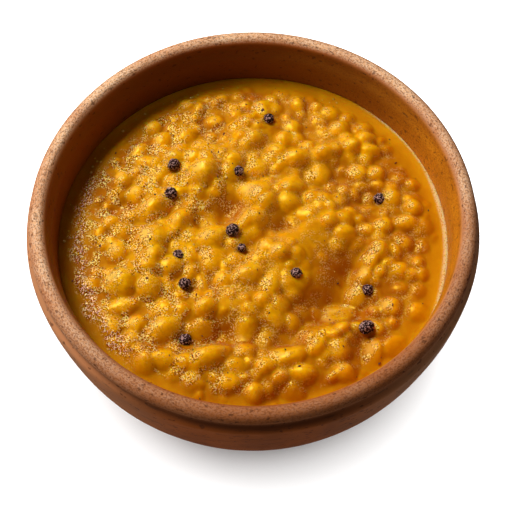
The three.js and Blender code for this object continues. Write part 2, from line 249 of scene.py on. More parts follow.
def add_node(tree, kind, inputs=None, **settings):
    """Adds a node, sets its options and joins or fills its inputs."""
    node = tree.nodes.new(kind)
    for name, value in settings.items():
        setattr(node, name, value)
    for key, value in (inputs or {}).items():
        socket = node.inputs[key]
        if isinstance(value, bpy.types.NodeSocket):
            tree.links.new(value, socket)
        else:
            socket.default_value = value
    return node


def mix_colour(tree, factor, a, b):
    """Blends two colours; each may be a socket or a plain colour."""
    def rgba(colour):
        return colour if isinstance(colour, bpy.types.NodeSocket) else (*colour[:3], 1.0)
    node = add_node(tree, "ShaderNodeMix", {0: factor, 6: rgba(a), 7: rgba(b)}, data_type="RGBA")
    return node.outputs[2]


def mix_value(tree, factor, a, b):
    """Blends two values."""
    return add_node(tree, "ShaderNodeMix", {0: factor, 2: a, 3: b}, data_type="FLOAT").outputs[0]


def maths(tree, operation, a, b=0.0):
    """One step of arithmetic on values."""
    return add_node(tree, "ShaderNodeMath", {0: a, 1: b}, operation=operation).outputs[0]


def times(tree, product, *factors):
    """The product of two or more values."""
    for factor in factors:
        product = maths(tree, "MULTIPLY", product, factor)
    return product


def distance_from(tree, value, middle):
    """How far a value is from a middle, to either side."""
    return maths(tree, "ABSOLUTE", maths(tree, "SUBTRACT", value, middle))


def ramp(tree, value, low, high, to_low=0.0, to_high=1.0):
    """Maps a value smoothly from one range to another."""
    return add_node(
        tree, "ShaderNodeMapRange",
        {"Value": value, "From Min": low, "From Max": high, "To Min": to_low, "To Max": to_high},
        interpolation_type="SMOOTHSTEP",
    ).outputs[0]


def speckle_group():
    """Shared effect: patches of noise. Mask is 0 below Low and 1 above High, and Height is the noise."""
    group = bpy.data.node_groups.get("speckle")
    if group:
        return group
    group = bpy.data.node_groups.new("speckle", "ShaderNodeTree")
    group.interface.new_socket("Vector", in_out="INPUT", socket_type="NodeSocketVector")
    for name in ("Scale", "Detail", "Low", "High"):
        group.interface.new_socket(name, in_out="INPUT", socket_type="NodeSocketFloat")
    for name in ("Mask", "Height"):
        group.interface.new_socket(name, in_out="OUTPUT", socket_type="NodeSocketFloat")
    given = add_node(group, "NodeGroupInput").outputs
    cloud = add_node(
        group, "ShaderNodeTexNoise",
        {"Vector": given["Vector"], "Scale": given["Scale"], "Detail": given["Detail"]},
    ).outputs[0]
    mask = ramp(group, cloud, given["Low"], given["High"])
    add_node(group, "NodeGroupOutput", {"Mask": mask, "Height": cloud})
    return group


def speckle(tree, vector, scale, low, high, detail):
    """Places the shared speckle effect and returns its Mask and Height."""
    node = add_node(
        tree, "ShaderNodeGroup",
        {"Vector": vector, "Scale": scale, "Detail": detail, "Low": low, "High": high},
        node_tree=speckle_group(),
    )
    return node.outputs["Mask"], node.outputs["Height"]


def scaled(tree, vector, scale):
    """Coordinates stretched along each axis."""
    return add_node(tree, "ShaderNodeMapping", {"Vector": vector, "Scale": scale}).outputs[0]


def axes_of(tree, vector):
    """The three parts of a vector."""
    outputs = add_node(tree, "ShaderNodeSeparateXYZ", {0: vector}).outputs
    return outputs["X"], outputs["Y"], outputs["Z"]


def bump_normal(tree, height, strength, distance):
    """A normal bent by a height; the distance is in millimetres."""
    return add_node(
        tree, "ShaderNodeBump", {"Height": height, "Strength": strength, "Distance": distance * MM}
    ).outputs[0]


def new_material(name):
    """An empty material; returns it with its tree and its coordinates in millimetres."""
    material = bpy.data.materials.new(name)
    material.use_nodes = True
    tree = material.node_tree
    tree.nodes.clear()
    place = add_node(tree, "ShaderNodeTexCoord").outputs["Object"]
    return material, tree, scaled(tree, place, (1 / MM, 1 / MM, 1 / MM))


def attribute(tree, name):
    """A value that the mesh carries at each vertex."""
    return add_node(tree, "ShaderNodeAttribute", attribute_name=name).outputs["Fac"]


def output(tree, shader):
    """Joins a shader to the material's output."""
    add_node(tree, "ShaderNodeOutputMaterial", {"Surface": shader})


# ---------------------------------------------------------------- finishes


def lip_clay(tree, bowl, x, y, from_axis, grain, dirt, clouds):
    """Dusty grained clay with a painted highlight along the lip's crest, and painted shade on its two
    sides and on its front.
    """
    off_crest = mix_colour(tree, times(tree, grain, 0.55), bowl.lip_and_side_light_colour, bowl.dust_colour)
    # painted shade on the lip's two sides; the crest keeps the paler clay as a painted highlight
    lip_sides_shade = mix_colour(tree, 0.45, off_crest, bowl.lip_shade_colour)
    crest = ramp(tree, distance_from(tree, from_axis, LIP_RADIUS - 0.2), 0.5, 1.8, 1.0, 0.0)
    colour = mix_colour(tree, crest, lip_sides_shade, off_crest)
    colour = mix_colour(tree, times(tree, clouds, 0.35), colour, bowl.body_colour)
    # painted shade on the lip's front and right, the side away from the key light
    front_shade = ramp(tree, maths(tree, "SUBTRACT", times(tree, x, 0.32), y), -15.0, 60.0)
    colour = mix_colour(tree, times(tree, front_shade, 0.8), colour, bowl.lip_shade_colour)
    return mix_colour(tree, times(tree, dirt, 0.6), colour, bowl.dirt_colour)


def wall_clay(tree, bowl, x, y, dirt, clouds):
    """Oiled clay inside the bowl, stained by the dal and painted lighter on the lit right, with painted
    shade at the back.
    """
    # the dal's stain on the right, also painted light where the key light falls
    stain_and_lit_side = ramp(tree, x, -15.0, 45.0)
    colour = mix_colour(tree, stain_and_lit_side, bowl.wall_colour, bowl.stain_and_light_colour)
    colour = mix_colour(tree, times(tree, clouds, 0.3), colour, bowl.wall_colour)
    grime = times(tree, dirt, mix_value(tree, stain_and_lit_side, 0.2, 0.6))
    colour = mix_colour(tree, grime, colour, bowl.wall_colour)
    # painted shade on the back of the inner wall, which faces away from the key light
    return mix_colour(tree, ramp(tree, y, 18.0, 50.0, 0.0, 0.6), colour, bowl.pit_and_shade_colour)


def belly_clay(tree, bowl, mm, x, z, clouds):
    """Browner clay with faint streaks round it, painted light on its sides, and painted shade in the
    groove in front.
    """
    streaks, _ = speckle(tree, scaled(tree, mm, (0.12, 0.12, 1.3)), 1.0, 0.60, 0.70, 2.0)
    aside = maths(tree, "ABSOLUTE", x)
    from_groove = distance_from(tree, z, NECK_HEIGHT - 0.4)
    # painted shade in the groove under the lip, strongest in front
    groove = times(
        tree, ramp(tree, from_groove, 0.4, 2.8, 0.85, 0.0), ramp(tree, aside, 10.0, 45.0, 1.0, 0.1)
    )
    colour = mix_colour(tree, clouds, bowl.body_colour, Vector(bowl.body_colour) * 0.78)
    colour = mix_colour(tree, times(tree, streaks, 0.55), colour, bowl.pit_and_shade_colour)
    # painted light on the belly's sides, which catch more light than its front
    colour = mix_colour(tree, ramp(tree, aside, 12.0, 50.0, 0.0, 0.35), colour, bowl.lip_and_side_light_colour)
    return mix_colour(tree, groove, colour, bowl.pit_and_shade_colour)


def terracotta_material(bowl):
    """Fired clay: a dusty pitted lip, a smoother browner belly and an inner wall stained by the dal,
    with painted light and shade on each.
    """
    material, tree, mm = new_material("fired terracotta")
    lip, inside = attribute(tree, "lip"), attribute(tree, "inside")
    x, y, z = axes_of(tree, mm)
    from_axis = maths(tree, "SQRT", maths(tree, "ADD", times(tree, x, x), times(tree, y, y)))
    turn = times(tree, maths(tree, "ARCTAN2", y, x), LIP_RADIUS * 0.7)
    along_rim = add_node(tree, "ShaderNodeCombineXYZ", {0: turn, 1: from_axis, 2: z}).outputs[0]
    grain, grain_height = speckle(tree, along_rim, 1.9, 0.45, 0.57, 3.0)
    dirt, _ = speckle(tree, along_rim, 2.8, 0.52, 0.58, 1.5)
    pits, _ = speckle(tree, along_rim, 0.9, 0.64, 0.70, 1.5)
    clouds, _ = speckle(tree, mm, 0.09, 0.35, 0.65, 3.0)

    belly = belly_clay(tree, bowl, mm, x, z, clouds)
    colour = mix_colour(tree, lip, belly, lip_clay(tree, bowl, x, y, from_axis, grain, dirt, clouds))
    colour = mix_colour(tree, inside, colour, wall_clay(tree, bowl, x, y, dirt, clouds))
    colour = mix_colour(tree, times(tree, pits, 0.6), colour, bowl.pit_and_shade_colour)
    rough = ramp(tree, lip, 0.0, 1.0, 0.62, 0.85)
    rough = maths(tree, "SUBTRACT", rough, times(tree, inside, 0.2))
    height = maths(tree, "SUBTRACT", times(tree, grain_height, 0.35), pits)
    shader = add_node(
        tree, "ShaderNodeBsdfPrincipled",
        {
            "Base Color": colour, "Roughness": rough, "Normal": bump_normal(tree, height, 0.55, 0.12),
            "Specular IOR Level": 0.1, "Specular Tint": (1.0, 0.75, 0.5, 1.0),
        },
    )
    output(tree, shader.outputs[0])
    return material


def lentils_and_gravy(tree, dal, mm, x, share, mottle, grain_height):
    """Golden lentils over orange gravy with painted highlights on big tops and painted shade in the
    gaps, thin gravy along the wall with the wall's painted shadow on the far left, and a painted
    highlight ring.
    """
    patches, _ = speckle(tree, mm, 0.16, 0.38, 0.62, 2.0)
    # gravy in the lower places, which also paints shade into the hollows
    colour = mix_colour(tree, ramp(tree, share["proud"], 0.1, 0.8), dal.gravy_and_shade_colour, dal.lentil_colour)
    colour = mix_colour(tree, times(tree, patches, 0.3), colour, dal.pale_and_highlight_colour)
    # painted highlight on the tops of large lentils
    colour = mix_colour(tree, times(tree, share["top"], 0.46), colour, dal.pale_and_highlight_colour)
    colour = mix_colour(tree, times(tree, mottle, 0.25), colour, dal.gravy_and_shade_colour)
    # painted shade in the gaps between lentils
    colour = mix_colour(tree, ramp(tree, share["lentil"], 0.0, 0.8, 0.31, 0.0), colour, dal.gravy_and_shade_colour)
    # painted shadow of the wall on the thin gravy at the far left
    painted_wall_shadow = ramp(tree, x, -50.0, -30.0, 0.85, 0.0)
    thin_gravy_and_shadow = mix_colour(tree, painted_wall_shadow, dal.margin_colour, dal.pore_and_shadow_colour)
    colour = mix_colour(tree, times(tree, share["margin"], 0.65), colour, thin_gravy_and_shadow)
    # painted highlight along the meniscus where the dal meets the wall
    ring_highlight = times(tree, share["ring"], ramp(tree, grain_height, 0.36, 0.5, 0.15, 0.9))
    return mix_colour(tree, ring_highlight, colour, dal.ring_highlight_colour)


def froth_glints_strength(tree, mm, x, share, facing, mottle):
    """How much froth and painted glints there are: in the gravy between lentils, most on the left, on
    the lit side of lentils, and in the foam-like glints.
    """
    rough_gravy, _ = speckle(tree, mm, 0.28, 0.44, 0.56, 3.0)
    rough_lentils, _ = speckle(tree, mm, 0.3, 0.40, 0.56, 3.0)
    left = ramp(tree, x, -40.0, 15.0, 1.0, 0.25)
    off_tops = ramp(tree, share["top"], 0.0, 0.5, 1.0, 0.25)
    # painted glints on the side of each lentil that faces the key light
    lit_side = ramp(tree, facing, 0.75, 0.95, 0.0, 0.9)
    off_margin = ramp(tree, share["margin"], 0.05, 0.3, 1.0, 0.0)
    between = times(tree, rough_gravy, left, off_tops)
    on_lentils = times(tree, rough_lentils, share["lentil"], lit_side)
    froth_glints = times(tree, maths(tree, "MAXIMUM", between, on_lentils), off_margin)
    # foam-like painted glints on the thin gravy at the far left
    glint_tufts = times(tree, share["foam_glint"], ramp(tree, mottle, 0.0, 0.3))
    return maths(tree, "MAXIMUM", froth_glints, glint_tufts)


def dal_material(dal):
    """Wet cooked lentils with a soft painted sheen and painted glints on their lit side, painted shade
    in the gaps, and fine pale froth on the gravy between them.
    """
    material, tree, mm = new_material("cooked dal")
    share = {name: attribute(tree, name) for name in DAL_SHARES}
    x, _, _ = axes_of(tree, mm)
    normal = add_node(tree, "ShaderNodeNewGeometry").outputs["Normal"]
    facing = add_node(
        tree, "ShaderNodeVectorMath", {0: normal, 1: LIT_SIDE}, operation="DOT_PRODUCT"
    ).outputs["Value"]
    mottle, _ = speckle(tree, mm, 0.9, 0.35, 0.7, 3.0)
    grain, grain_height = speckle(tree, mm, 2.3, 0.53, 0.57, 1.5)
    pores, _ = speckle(tree, mm, 2.6, 0.49, 0.54, 1.0)

    strength = froth_glints_strength(tree, mm, x, share, facing, mottle)
    # pale dots of froth and painted glints
    froth_glints = mix_colour(tree, share["foam_glint"], dal.froth_glints_colour, dal.foam_glint_colour)
    # painted sheen on the lit side of large lentils' tops
    painted_sheen = times(tree, ramp(tree, facing, 0.86, 0.98), share["top"], 0.34)
    colour = lentils_and_gravy(tree, dal, mm, x, share, mottle, grain_height)
    # painted shade on the side of each lentil that faces away from the key light
    colour = mix_colour(tree, ramp(tree, facing, 0.4, 0.8, 0.2, 0.0), colour, dal.gravy_and_shade_colour)
    colour = mix_colour(tree, painted_sheen, colour, dal.froth_glints_colour)
    colour = mix_colour(tree, times(tree, pores, strength, 0.95), colour, dal.pore_and_shadow_colour)
    colour = mix_colour(tree, times(tree, grain, strength), colour, froth_glints)
    relief = times(tree, grain_height, ramp(tree, strength, 0.0, 1.0, 0.08, 1.0))
    rough = mix_value(tree, strength, ramp(tree, share["lentil"], 0.0, 0.8, 0.7, 0.3), 0.08)
    shader = add_node(
        tree, "ShaderNodeBsdfPrincipled",
        {
            "Base Color": colour, "Roughness": rough, "Normal": bump_normal(tree, relief, 1.0, 0.32),
            "IOR": 1.4, "Specular IOR Level": 0.9, "Specular Tint": (1.0, 0.7, 0.03, 1.0),
            "Subsurface Weight": 1.0, "Subsurface Radius": (1.0, 0.45, 0.08),
            "Subsurface Scale": 2.6 * MM,
        },
    )
    output(tree, shader.outputs[0])
    return material


def seed_material(toppings):
    """Mustard seeds: near black with a purple tinge and pale specks where the skin is rough."""
    material, tree, mm = new_material("mustard seed skin")
    specks, _ = speckle(tree, mm, 2.0, 0.53, 0.57, 1.0)
    tint, knobs = speckle(tree, mm, 0.8, 0.4, 0.6, 2.0)
    colour = mix_colour(tree, tint, toppings.seed_colour, Vector(toppings.seed_colour) * 0.4)
    colour = mix_colour(tree, times(tree, specks, 0.75), colour, toppings.speck_colour)
    shader = add_node(
        tree, "ShaderNodeBsdfPrincipled",
        {
            "Base Color": colour, "Roughness": 0.75, "Normal": bump_normal(tree, knobs, 0.7, 0.3),
            "Specular IOR Level": 0.15,
        },
    )
    output(tree, shader.outputs[0])
    return material


def spice_material(toppings):
    """Ground spice: dark red-brown flakes, some nearly black."""
    material, tree, mm = new_material("ground spice")
    tint, _ = speckle(tree, mm, 0.5, 0.4, 0.6, 1.0)
    colour = mix_colour(tree, tint, toppings.spice_colour, toppings.seed_colour)
    shader = add_node(tree, "ShaderNodeBsdfPrincipled", {"Base Color": colour, "Roughness": 0.5})
    output(tree, shader.outputs[0])
    return material


def bubble_material(toppings):
    """Small bubbles and beads of oil: pale gold and very glossy."""
    material, tree, mm = new_material("gravy bubble")
    tint, _ = speckle(tree, mm, 0.4, 0.35, 0.65, 1.0)
    colour = mix_colour(tree, tint, toppings.bubble_colour, Vector(toppings.bubble_colour) * 0.7)
    shader = add_node(
        tree, "ShaderNodeBsdfPrincipled",
        {"Base Color": colour, "Roughness": 0.12, "Coat Weight": 1.0, "Coat Roughness": 0.05},
    )
    output(tree, shader.outputs[0])
    return material


def floor_material(stage):
    """A white floor that gives back little light, so that the bowl's underside stays in shade."""
    material, tree, _ = new_material("studio floor")
    bounced = Vector(stage.floor_colour) * stage.floor_bounce
    seen, given_back = (
        add_node(tree, "ShaderNodeBsdfDiffuse", {"Color": (*colour, 1.0)}).outputs[0]
        for colour in (stage.floor_colour, bounced)
    )
    by_camera = add_node(tree, "ShaderNodeLightPath").outputs["Is Camera Ray"]
    mixed = add_node(tree, "ShaderNodeMixShader", {0: by_camera, 1: given_back, 2: seen})
    output(tree, mixed.outputs[0])
    return material


# ---------------------------------------------------------------- bowl


def superellipse(z, radius, top, bottom, exponent):
    """Radius at height z of a superellipse, widest at top and ending at bottom."""
    fall = np.clip((top - z) / (top - bottom), 0.0, 1.0)
    return radius * (1.0 - fall ** exponent) ** (1.0 / exponent)


BELLY_BOTTOM = BELLY_HEIGHT - BELLY_HEIGHT / (
    1 - (BASE_RADIUS / BELLY_RADIUS) ** BELLY_ROUNDNESS
) ** (1 / BELLY_ROUNDNESS)
LIP_HEIGHT = BOWL_HEIGHT - LIP_HALF_HEIGHT


def outer_radius(z):
    """Outside of the belly with the groove under the lip."""
    belly = superellipse(z, BELLY_RADIUS, BELLY_HEIGHT, BELLY_BOTTOM, BELLY_ROUNDNESS)
    return belly - NECK_DEPTH * np.exp(-(((z - NECK_HEIGHT) / NECK_HALF_WIDTH) ** 2))


def inner_radius(z):
    """Inside of the wall, which opens out at its top to meet the lip."""
    wall = superellipse(z, CAVITY_RADIUS, CAVITY_TOP, CAVITY_FLOOR, CAVITY_ROUNDNESS)
    return lerp(wall, LIP_RADIUS - LIP_HALF_WIDTH, smoothstep(z, CAVITY_TOP, LIP_HEIGHT))


def eased_heights(low, high, steps):
    """Heights whose steps are shortest near the bottom."""
    return [lerp(low, high, 1 - math.cos(i / steps * math.pi / 2)) for i in range(steps + 1)]


def bowl_profile():
    """Points (radius, height) from the middle of the base round the lip to the cavity's floor."""
    points = [(0.0, 0.0), (BASE_RADIUS * 0.5, 0.0)]
    corner = BASE_RADIUS - BASE_ROUNDING
    points += [
        (corner + BASE_ROUNDING * math.sin(turn), BASE_ROUNDING * (1 - math.cos(turn)) * 0.5)
        for turn in np.linspace(0, math.pi / 3, 5)
    ]
    neck_from, neck_to = NECK_HEIGHT - 2.2 * NECK_HALF_WIDTH, NECK_HEIGHT + 0.05 * NECK_HALF_WIDTH
    points += [(outer_radius(z), z) for z in eased_heights(BASE_ROUNDING, neck_from, 34)]
    points += [(outer_radius(z), z) for z in np.linspace(neck_from, neck_to, 15)[1:]]
    points += [
        (LIP_RADIUS + LIP_HALF_WIDTH * math.cos(turn), LIP_HEIGHT + LIP_HALF_HEIGHT * math.sin(turn))
        for turn in np.linspace(math.radians(-20), math.pi, 30)
    ]
    points += [(inner_radius(z), z) for z in np.linspace(LIP_HEIGHT, CAVITY_TOP, 8)[1:]]
    points += [(inner_radius(z), z) for z in reversed(eased_heights(CAVITY_FLOOR, CAVITY_TOP, 36)[:-1])]
    points[-1] = (0.0, CAVITY_FLOOR)
    return points


def clay_shift(x, y, z, is_inside, ridge):
    """How far throwing lines and unevenness sink the bowl's surface into its clay."""
    wobble = noise.noise(Vector((x * 0.03, y * 0.03, z * 0.05)))
    twist = z * THROWING_TWIST + 2.5 * wobble + 0.4 * math.sin(math.atan2(y, x) * 2)
    lines = ridge * (0.5 + 0.5 * math.sin(twist))
    if is_inside:
        return lines * 0.5 if z >= DAL_LEVEL + 2 else 0.0
    on_lip = float(smoothstep(z, *LINES_FADE))
    return max(lines + CLAY_UNEVENNESS * (0.5 + wobble), 0.0) * (1 - 0.6 * on_lip)


def make_bowl(bowl):
    """Turns the profile, then gives the clay its throwing lines and slight unevenness."""
    bm = bmesh.new()
    verts = [bm.verts.new((radius, 0, z)) for radius, z in bowl_profile()]
    edges = [bm.edges.new(pair) for pair in zip(verts, verts[1:])]
    bmesh.ops.spin(
        bm, geom=verts + edges, cent=(0, 0, 0), axis=(0, 0, 1), angle=2 * math.pi,
        steps=TURN_STEPS, use_merge=True, use_duplicate=False,
    )
    bmesh.ops.remove_doubles(bm, verts=bm.verts, dist=1e-4)
    bmesh.ops.recalc_face_normals(bm, faces=bm.faces)

    lip_layer = bm.verts.layers.float.new("lip")
    inside_layer = bm.verts.layers.float.new("inside")
    for vert in bm.verts:
        x, y, z = vert.co
        radius = math.hypot(x, y)
        is_inside = radius < float(inner_radius(z)) + 1.0 and z > CAVITY_FLOOR - 0.1
        past_lip = float(smoothstep(LIP_RADIUS - LIP_HALF_WIDTH * 0.6 - radius, 0.0, 0.8))
        on_wall = float(smoothstep(LIP_RADIUS - LIP_HALF_WIDTH * 0.75 - radius, 0.0, 0.7))
        vert[lip_layer] = float(smoothstep(z, *LIP_CLAY)) * (1 - past_lip)
        vert[inside_layer] = on_wall if is_inside else 0.0
        if radius < 1.0 or z < 1.5:
            continue
        shift = clay_shift(x, y, z, is_inside, bowl.throwing_depth / MM)
        away = (shift if is_inside else -shift) / radius
        vert.co.x += x * away
        vert.co.y += y * away
        if z > LIP_HEIGHT:
            dip = LIP_DIP * (1 + noise.noise(Vector((x * 0.045, y * 0.045, 4.0))) * 1.6)
            vert.co.z -= max(dip, 0.0) * (z - LIP_HEIGHT) / LIP_HALF_HEIGHT
    piece = finish_piece("terracotta_bowl", bm, terracotta_material(bowl))
    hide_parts("bowl")
    return piece


# ---------------------------------------------------------------- dal

SURFACE_RADIUS = float(inner_radius(DAL_LEVEL)) - DAL_GAP


def dome(x, y, half_length, half_width, angle, height):
    """One lentil or clump: a soft dome whose foot the gravy widens."""
    return (x, y, half_length * FOOT_SPREAD, half_width * FOOT_SPREAD, angle, height)


def lattice_points(pitch):
    """Rows and columns of a triangular lattice over the whole surface: x and y of each point."""
    row_height = pitch * math.sin(math.pi / 3)
    rows = math.ceil(SURFACE_RADIUS / row_height)
    columns = math.ceil(SURFACE_RADIUS / pitch) + 1
    for row in range(-rows, rows + 1):
        for column in range(-columns, columns + 1):
            yield (column + (row & 1) * 0.5) * pitch, row * row_height


def scatter_lentils():
    """Clumps first, then single lentils wherever there is room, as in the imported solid."""
    draw = random_stream(LENTIL_SEED)
    clumps = [
        dome(x, y, half_length, half_width, math.radians(degrees), DOME_RATIO * half_width)
        for x, y, half_length, half_width, degrees in CLUMPS
    ]
    lentils = []
    for base_x, base_y in lattice_points(LENTIL_PITCH):
        x = base_x + lerp(-1, 1, next(draw)) * LENTIL_JITTER
        y = base_y + lerp(-1, 1, next(draw)) * LENTIL_JITTER
        size = lerp(*LENTIL_RADIUS, next(draw) ** 1.5)
        stretch = lerp(0.95, 1.15, next(draw))
        angle = next(draw) * math.pi
        height = DOME_RATIO * (0.9 * size - 0.2) * lerp(0.5, 1.4, next(draw))
        clears_clumps = all(
            math.hypot(clump_x - x, clump_y - y) > CLUMP_ROOM * half_length + LENTIL_ROOM * size
            for clump_x, clump_y, half_length, *_ in clumps)
        clears_smooth = all(
            math.hypot(smooth_x + PATTERN_X - x, smooth_y + PATTERN_Y - y) > radius
            for smooth_x, smooth_y, radius in SMOOTH)
        clears_wall = math.hypot(x, y) < SURFACE_RADIUS - WALL_CLEARANCE - 1.15 * size
        if clears_clumps and clears_smooth and clears_wall:
            lentils.append(dome(x, y, size * stretch, size / stretch, angle, height))
    return clumps + lentils


def scatter_crumbs():
    """Broken lentils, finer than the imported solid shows."""
    draw = random_stream(CRUMB_SEED)
    crumbs = []
    for base_x, base_y in lattice_points(CRUMB_PITCH):
        x = base_x + lerp(-1, 1, next(draw)) * CRUMB_JITTER
        y = base_y + lerp(-1, 1, next(draw)) * CRUMB_JITTER
        size = lerp(*CRUMB_RADIUS, next(draw))
        angle = next(draw) * math.pi
        height = CRUMB_DOME * size * lerp(0.5, 1.6, next(draw))
        is_kept = next(draw) < CRUMB_SHARE
        if is_kept and math.hypot(x, y) < SURFACE_RADIUS - WALL_CLEARANCE - size:
            crumbs.append(dome(x, y, size * 1.15, size, angle, height))
    return crumbs


def along_across(dx, dy, angle):
    """Distances along and across a direction."""
    return dx * math.cos(angle) + dy * math.sin(angle), dy * math.cos(angle) - dx * math.sin(angle)


def sum_domes(domes, x, y):
    """Joins the domes with soft fillets and returns their height over the gravy at each point."""
    total = np.zeros_like(x)
    for dome_x, dome_y, half_length, half_width, angle, height in domes:
        near = (np.abs(x - dome_x) < half_length) & (np.abs(y - dome_y) < half_length)
        along, across = along_across(x[near] - dome_x, y[near] - dome_y, angle)
        share = 1 - (along / half_length) ** 2 - (across / half_width) ** 2
        rise = height * np.maximum(share, 0.0) ** DOME_FALL
        total[near] += np.exp(rise / FILLET) - 1.0
    return FILLET * np.log1p(total)


DOMES = scatter_lentils() + scatter_crumbs()


def unevenness(x, y, length):
    """Smooth random values between -1 and 1 that change over a length: three columns of them."""
    noise.seed_set(NOISE_SEED)  # without a seed, each run draws other offsets
    return np.array([noise.noise_vector((px / length, py / length, length)) for px, py in zip(x, y)])


# What each vertex of the dal tells its material, as shares from 0 to 1: how far it stands over the
# gravy, how far it is onto a lentil, how near a large lentil's top, and the margin, the painted
# highlight ring along the wall and the foam-like painted glints.
DAL_SHARES = ("proud", "lentil", "top", "margin", "ring", "foam_glint")


def ring_share(from_wall, degrees):
    """Where the painted highlight along the wall is."""
    turn = np.abs(degrees)
    width = RING_WIDTH * np.maximum(1.0 - smoothstep(turn, *RING_NARROWS), RING_NARROWEST)
    return (1.0 - smoothstep(turn, *RING_ENDS)) * (1.0 - smoothstep(from_wall - width, -0.6, 0.1))


def foam_glint_share(from_wall, degrees):
    """Where the foam-like painted glints on the thin gravy are."""
    from_middle = np.abs(from_wall - FOAM_GLINT_FROM_WALL)
    turn = np.abs(np.mod(degrees, 360.0) - FOAM_GLINT_MIDDLE)
    across = 1.0 - smoothstep(from_middle, 0.4 * FOAM_GLINT_WIDTH, 1.4 * FOAM_GLINT_WIDTH)
    return across * (1.0 - smoothstep(turn, 0.7 * FOAM_GLINT_REACH, FOAM_GLINT_REACH))


def dal_surface(x, y):
    """Height of the dal at each point, and the shares that DAL_SHARES names."""
    from_wall = SURFACE_RADIUS - np.hypot(x, y)
    inside = smoothstep(from_wall, 0.0, MARGIN_WIDTH)
    meniscus = MENISCUS_RISE * np.exp(-np.maximum(from_wall, 0.0) / MENISCUS_WIDTH)
    phase = 2 * math.pi / SWELL_LENGTH
    swell = SWELL_HEIGHT * np.sin(x * phase + 1.3) * np.cos(y * phase * 0.83 - 0.7)
    level = DAL_LEVEL + meniscus + inside * MIDDLE_RISE
    ground = level + inside * swell
    for mound_x, mound_y, half_length, half_width, degrees, height in MOUNDS:
        along, across = along_across(
            x - PATTERN_X - mound_x, y - PATTERN_Y - mound_y, math.radians(degrees))
        ground += height * np.exp(-(along / half_length) ** 2 - (across / half_width) ** 2)
    for length, height in RIPPLES:
        ground += height * inside * unevenness(x, y, length)[:, 2]
    bend_x, bend_y, _ = WARP_DEPTH * unevenness(x, y, WARP_LENGTH).T
    lumps = sum_domes(DOMES, x + bend_x, y + bend_y)
    height = ground + lumps * lerp(0.35, 1.0, inside)
    turn = np.degrees(np.arctan2(y, x))
    return (
        height,
        smoothstep(height - level + 0.7 * lumps, -2.0, 6.0),
        smoothstep(lumps, 0.1, 0.9),
        smoothstep(lumps, 0.8, 2.4),
        1.0 - inside,
        ring_share(from_wall, turn),
        foam_glint_share(from_wall + FOAM_GLINT_STRAYS * bend_x, turn),
    )


def make_dal(dal):
    """A fine disc raised to the dal's surface, closed by a wall and floor that follow the cavity."""
    bm = bmesh.new()
    bmesh.ops.create_grid(bm, x_segments=DAL_CELLS, y_segments=DAL_CELLS, size=1.0)
    radius = float(inner_radius(DAL_LEVEL + MENISCUS_RISE)) + DAL_REACH
    for vert in bm.verts:
        u, v, _ = vert.co
        vert.co = (radius * u * math.sqrt(1 - v * v / 2), radius * v * math.sqrt(1 - u * u / 2), 0.0)
    place = np.array([vert.co.xy for vert in bm.verts])
    heights, *shares = dal_surface(place[:, 0], place[:, 1])
    layers = [bm.verts.layers.float.new(name) for name in DAL_SHARES]
    for vert, height, *values in zip(bm.verts, heights, *shares):
        vert.co.z = height
        for layer, value in zip(layers, values):
            vert[layer] = value
    inner = [vert for vert in bm.verts if not vert.is_boundary]
    for _ in range(2):
        bmesh.ops.smooth_vert(bm, verts=inner, factor=0.5, use_axis_z=True)

    rim = [edge for edge in bm.edges if edge.is_boundary]
    for z in reversed(eased_heights(CAVITY_FLOOR, DAL_LEVEL - 1.0, 14)):
        made = bmesh.ops.extrude_edge_only(bm, edges=rim)["geom"]
        rim = [item for item in made if isinstance(item, bmesh.types.BMEdge)]
        reach = max(float(inner_radius(z)), CAVITY_RADIUS * 0.3) + DAL_REACH * 0.5
        for vert in (item for item in made if isinstance(item, bmesh.types.BMVert)):
            share = reach / math.hypot(vert.co.x, vert.co.y)
            vert.co = (vert.co.x * share, vert.co.y * share, z)
    bmesh.ops.edgeloop_fill(bm, edges=rim)
    bmesh.ops.recalc_face_normals(bm, faces=bm.faces)
    piece = finish_piece("dal_stew", bm, dal_material(dal))
    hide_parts("dal")
    return piece


# ---------------------------------------------------------------- toppings


def add_grain(bm, subdivisions, place, scale, turn, lumpiness, spread):
    """Adds one small rounded grain with a knobbly skin."""
    made = bmesh.ops.create_icosphere(bm, subdivisions=subdivisions, radius=1.0)["verts"]
    for vert in made:
        rough = noise.noise(vert.co * spread + Vector(place)) + 0.5 * noise.noise(vert.co * spread * 2.1)
        vert.co *= 1 + lumpiness * rough
    shape = Matrix.Translation(place) @ turn @ Matrix.Diagonal((*scale, 1.0))
    bmesh.ops.transform(bm, matrix=shape, verts=made)


def random_turn(draw):
    """A turn about all three axes."""
    return (
        Matrix.Rotation(next(draw) * math.pi, 4, "X")
        @ Matrix.Rotation(next(draw) * math.pi, 4, "Y")
        @ Matrix.Rotation(next(draw) * math.pi, 4, "Z")
    )


def spots_on_dal(spots):
    """Turns (distance from the middle, angle) pairs into points on the dal's surface."""
    distance, angle = np.array(spots).T
    x, y = distance * np.cos(angle), distance * np.sin(angle)
    return zip(x, y, dal_surface(x, y)[0])


def make_seeds(toppings):
    """Whole mustard seeds, part sunk in the dal."""
    draw = random_stream(toppings.random_seed)
    bm = bmesh.new()
    places = np.array(SEEDS)
    heights = dal_surface(places[:, 0], places[:, 1])[0]
    for (x, y, size), z in zip(SEEDS, heights):
        radius = SEED_RADIUS * size
        scale = [radius * lerp(0.86, 1.05, next(draw)) for _ in range(3)]
        add_grain(bm, 4, (x, y, z + radius * SEED_SUNK), scale, random_turn(draw), 0.2, 2.4)
    return finish_piece("mustard_seeds", bm, seed_material(toppings))


